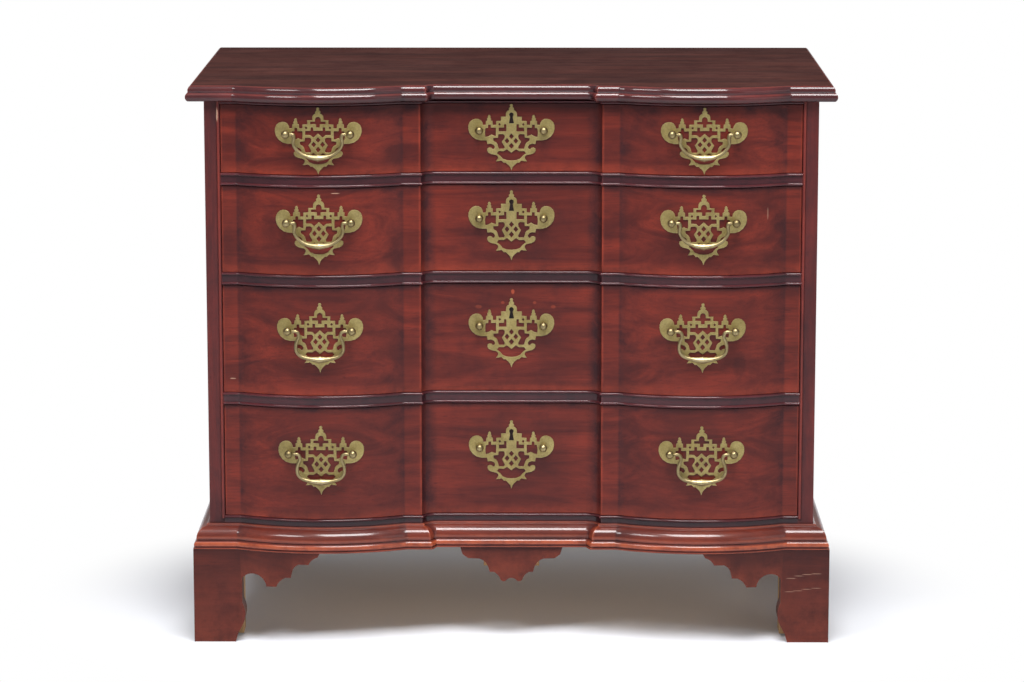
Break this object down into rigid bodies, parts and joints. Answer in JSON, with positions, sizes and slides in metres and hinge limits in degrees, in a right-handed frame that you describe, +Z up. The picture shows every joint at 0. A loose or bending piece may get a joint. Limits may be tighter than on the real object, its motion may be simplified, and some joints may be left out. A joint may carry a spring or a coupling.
{
  "type": "block front chest of drawers",
  "caption": "Block-front chest of four graduated drawers on bracket feet, with pierced brass plates, bail handles and drawer locks.",
  "frame": {"origin": "on the floor, under the middle of the chest's bounding box", "axes": "+Z up, -Y out of the drawer fronts, +X to the right of someone facing the drawers"},
  "size_m": [0.914, 0.5544, 0.8],
  "materials": {
    "mahogany_top": "old shellac, worn, dark",
    "mahogany_drawer": "polished shellac",
    "mahogany_case": "polished shellac, grime in the corners",
    "mahogany_base": "polished shellac, worn on the edges",
    "white_pine": "bare, aged",
    "plate_brass": "dull patina, filed edges",
    "cast_brass": "polished by handling",
    "lock_iron": "forged, dark"
  },
  "bodies": {
    "case": {"case_top": "mahogany_top", "case_side_left": "mahogany_case", "case_side_right": "mahogany_case", "drawer_divider_1": "mahogany_case", "drawer_divider_2": "mahogany_case", "drawer_divider_3": "mahogany_case", "top_rail": "mahogany_case", "bottom_rail": "mahogany_case", "case_bottom": "white_pine", "back_boards": "white_pine", "rear_top_rail": "white_pine", "drawer_runners": "white_pine", "drawer_stops": "white_pine", "base_moulding_front": "mahogany_base", "base_moulding_sides": "mahogany_base", "front_foot_left": "mahogany_base", "front_foot_right": "mahogany_base", "rear_feet": "mahogany_base", "foot_glue_blocks": "white_pine", "centre_drop": "mahogany_base"},
    "drawer_1": {"drawer_1_front": "mahogany_drawer", "drawer_1_carcass": "white_pine", "drawer_1_bottom": "white_pine", "drawer_1_lock": "lock_iron", "drawer_1_escutcheon": "plate_brass", "drawer_1_handle_plates": "plate_brass", "drawer_1_posts": "cast_brass"},
    "drawer_2": {"drawer_2_front": "mahogany_drawer", "drawer_2_carcass": "white_pine", "drawer_2_bottom": "white_pine", "drawer_2_lock": "lock_iron", "drawer_2_escutcheon": "plate_brass", "drawer_2_handle_plates": "plate_brass", "drawer_2_posts": "cast_brass"},
    "drawer_3": {"drawer_3_front": "mahogany_drawer", "drawer_3_carcass": "white_pine", "drawer_3_bottom": "white_pine", "drawer_3_lock": "lock_iron", "drawer_3_escutcheon": "plate_brass", "drawer_3_handle_plates": "plate_brass", "drawer_3_posts": "cast_brass"},
    "drawer_4": {"drawer_4_front": "mahogany_drawer", "drawer_4_carcass": "white_pine", "drawer_4_bottom": "white_pine", "drawer_4_lock": "lock_iron", "drawer_4_escutcheon": "plate_brass", "drawer_4_handle_plates": "plate_brass", "drawer_4_posts": "cast_brass"},
    "bail_1_left": {"drawer_1_bail_left": "cast_brass"},
    "bail_1_right": {"drawer_1_bail_right": "cast_brass"},
    "bolt_1": {"drawer_1_lock_bolt": "lock_iron"},
    "bail_2_left": {"drawer_2_bail_left": "cast_brass"},
    "bail_2_right": {"drawer_2_bail_right": "cast_brass"},
    "bolt_2": {"drawer_2_lock_bolt": "lock_iron"},
    "bail_3_left": {"drawer_3_bail_left": "cast_brass"},
    "bail_3_right": {"drawer_3_bail_right": "cast_brass"},
    "bolt_3": {"drawer_3_lock_bolt": "lock_iron"},
    "bail_4_left": {"drawer_4_bail_left": "cast_brass"},
    "bail_4_right": {"drawer_4_bail_right": "cast_brass"},
    "bolt_4": {"drawer_4_lock_bolt": "lock_iron"}
  },
  "joints": [
    {"name": "drawer_1_slide", "type": "slide", "parent": "case", "child": "drawer_1", "axis": [0, -1, 0], "range_m": [0, 0.38]},
    {"name": "drawer_2_slide", "type": "slide", "parent": "case", "child": "drawer_2", "axis": [0, -1, 0], "range_m": [0, 0.38]},
    {"name": "drawer_3_slide", "type": "slide", "parent": "case", "child": "drawer_3", "axis": [0, -1, 0], "range_m": [0, 0.38]},
    {"name": "drawer_4_slide", "type": "slide", "parent": "case", "child": "drawer_4", "axis": [0, -1, 0], "range_m": [0, 0.38]},
    {"name": "bail_1_left_swing", "type": "hinge", "parent": "drawer_1", "child": "bail_1_left", "pos_m": [-0.27025, -0.26419, 0.7346], "axis": [-1, 0, 0], "range_deg": [0, 165]},
    {"name": "bail_1_right_swing", "type": "hinge", "parent": "drawer_1", "child": "bail_1_right", "pos_m": [0.27025, -0.26419, 0.7346], "axis": [-1, 0, 0], "range_deg": [0, 165]},
    {"name": "bolt_1_slide", "type": "slide", "parent": "drawer_1", "child": "bolt_1", "axis": [0, 0, 1], "range_m": [0, 0.007]},
    {"name": "bail_2_left_swing", "type": "hinge", "parent": "drawer_2", "child": "bail_2_left", "pos_m": [-0.27025, -0.26419, 0.60955], "axis": [-1, 0, 0], "range_deg": [0, 165]},
    {"name": "bail_2_right_swing", "type": "hinge", "parent": "drawer_2", "child": "bail_2_right", "pos_m": [0.27025, -0.26419, 0.60955], "axis": [-1, 0, 0], "range_deg": [0, 165]},
    {"name": "bolt_2_slide", "type": "slide", "parent": "drawer_2", "child": "bolt_2", "axis": [0, 0, 1], "range_m": [0, 0.007]},
    {"name": "bail_3_left_swing", "type": "hinge", "parent": "drawer_3", "child": "bail_3_left", "pos_m": [-0.27025, -0.26419, 0.45505], "axis": [-1, 0, 0], "range_deg": [0, 165]},
    {"name": "bail_3_right_swing", "type": "hinge", "parent": "drawer_3", "child": "bail_3_right", "pos_m": [0.27025, -0.26419, 0.45505], "axis": [-1, 0, 0], "range_deg": [0, 165]},
    {"name": "bolt_3_slide", "type": "slide", "parent": "drawer_3", "child": "bolt_3", "axis": [0, 0, 1], "range_m": [0, 0.007]},
    {"name": "bail_4_left_swing", "type": "hinge", "parent": "drawer_4", "child": "bail_4_left", "pos_m": [-0.27025, -0.26419, 0.278], "axis": [-1, 0, 0], "range_deg": [0, 165]},
    {"name": "bail_4_right_swing", "type": "hinge", "parent": "drawer_4", "child": "bail_4_right", "pos_m": [0.27025, -0.26419, 0.278], "axis": [-1, 0, 0], "range_deg": [0, 165]},
    {"name": "bolt_4_slide", "type": "slide", "parent": "drawer_4", "child": "bolt_4", "axis": [0, 0, 1], "range_m": [0, 0.007]}
  ]
}
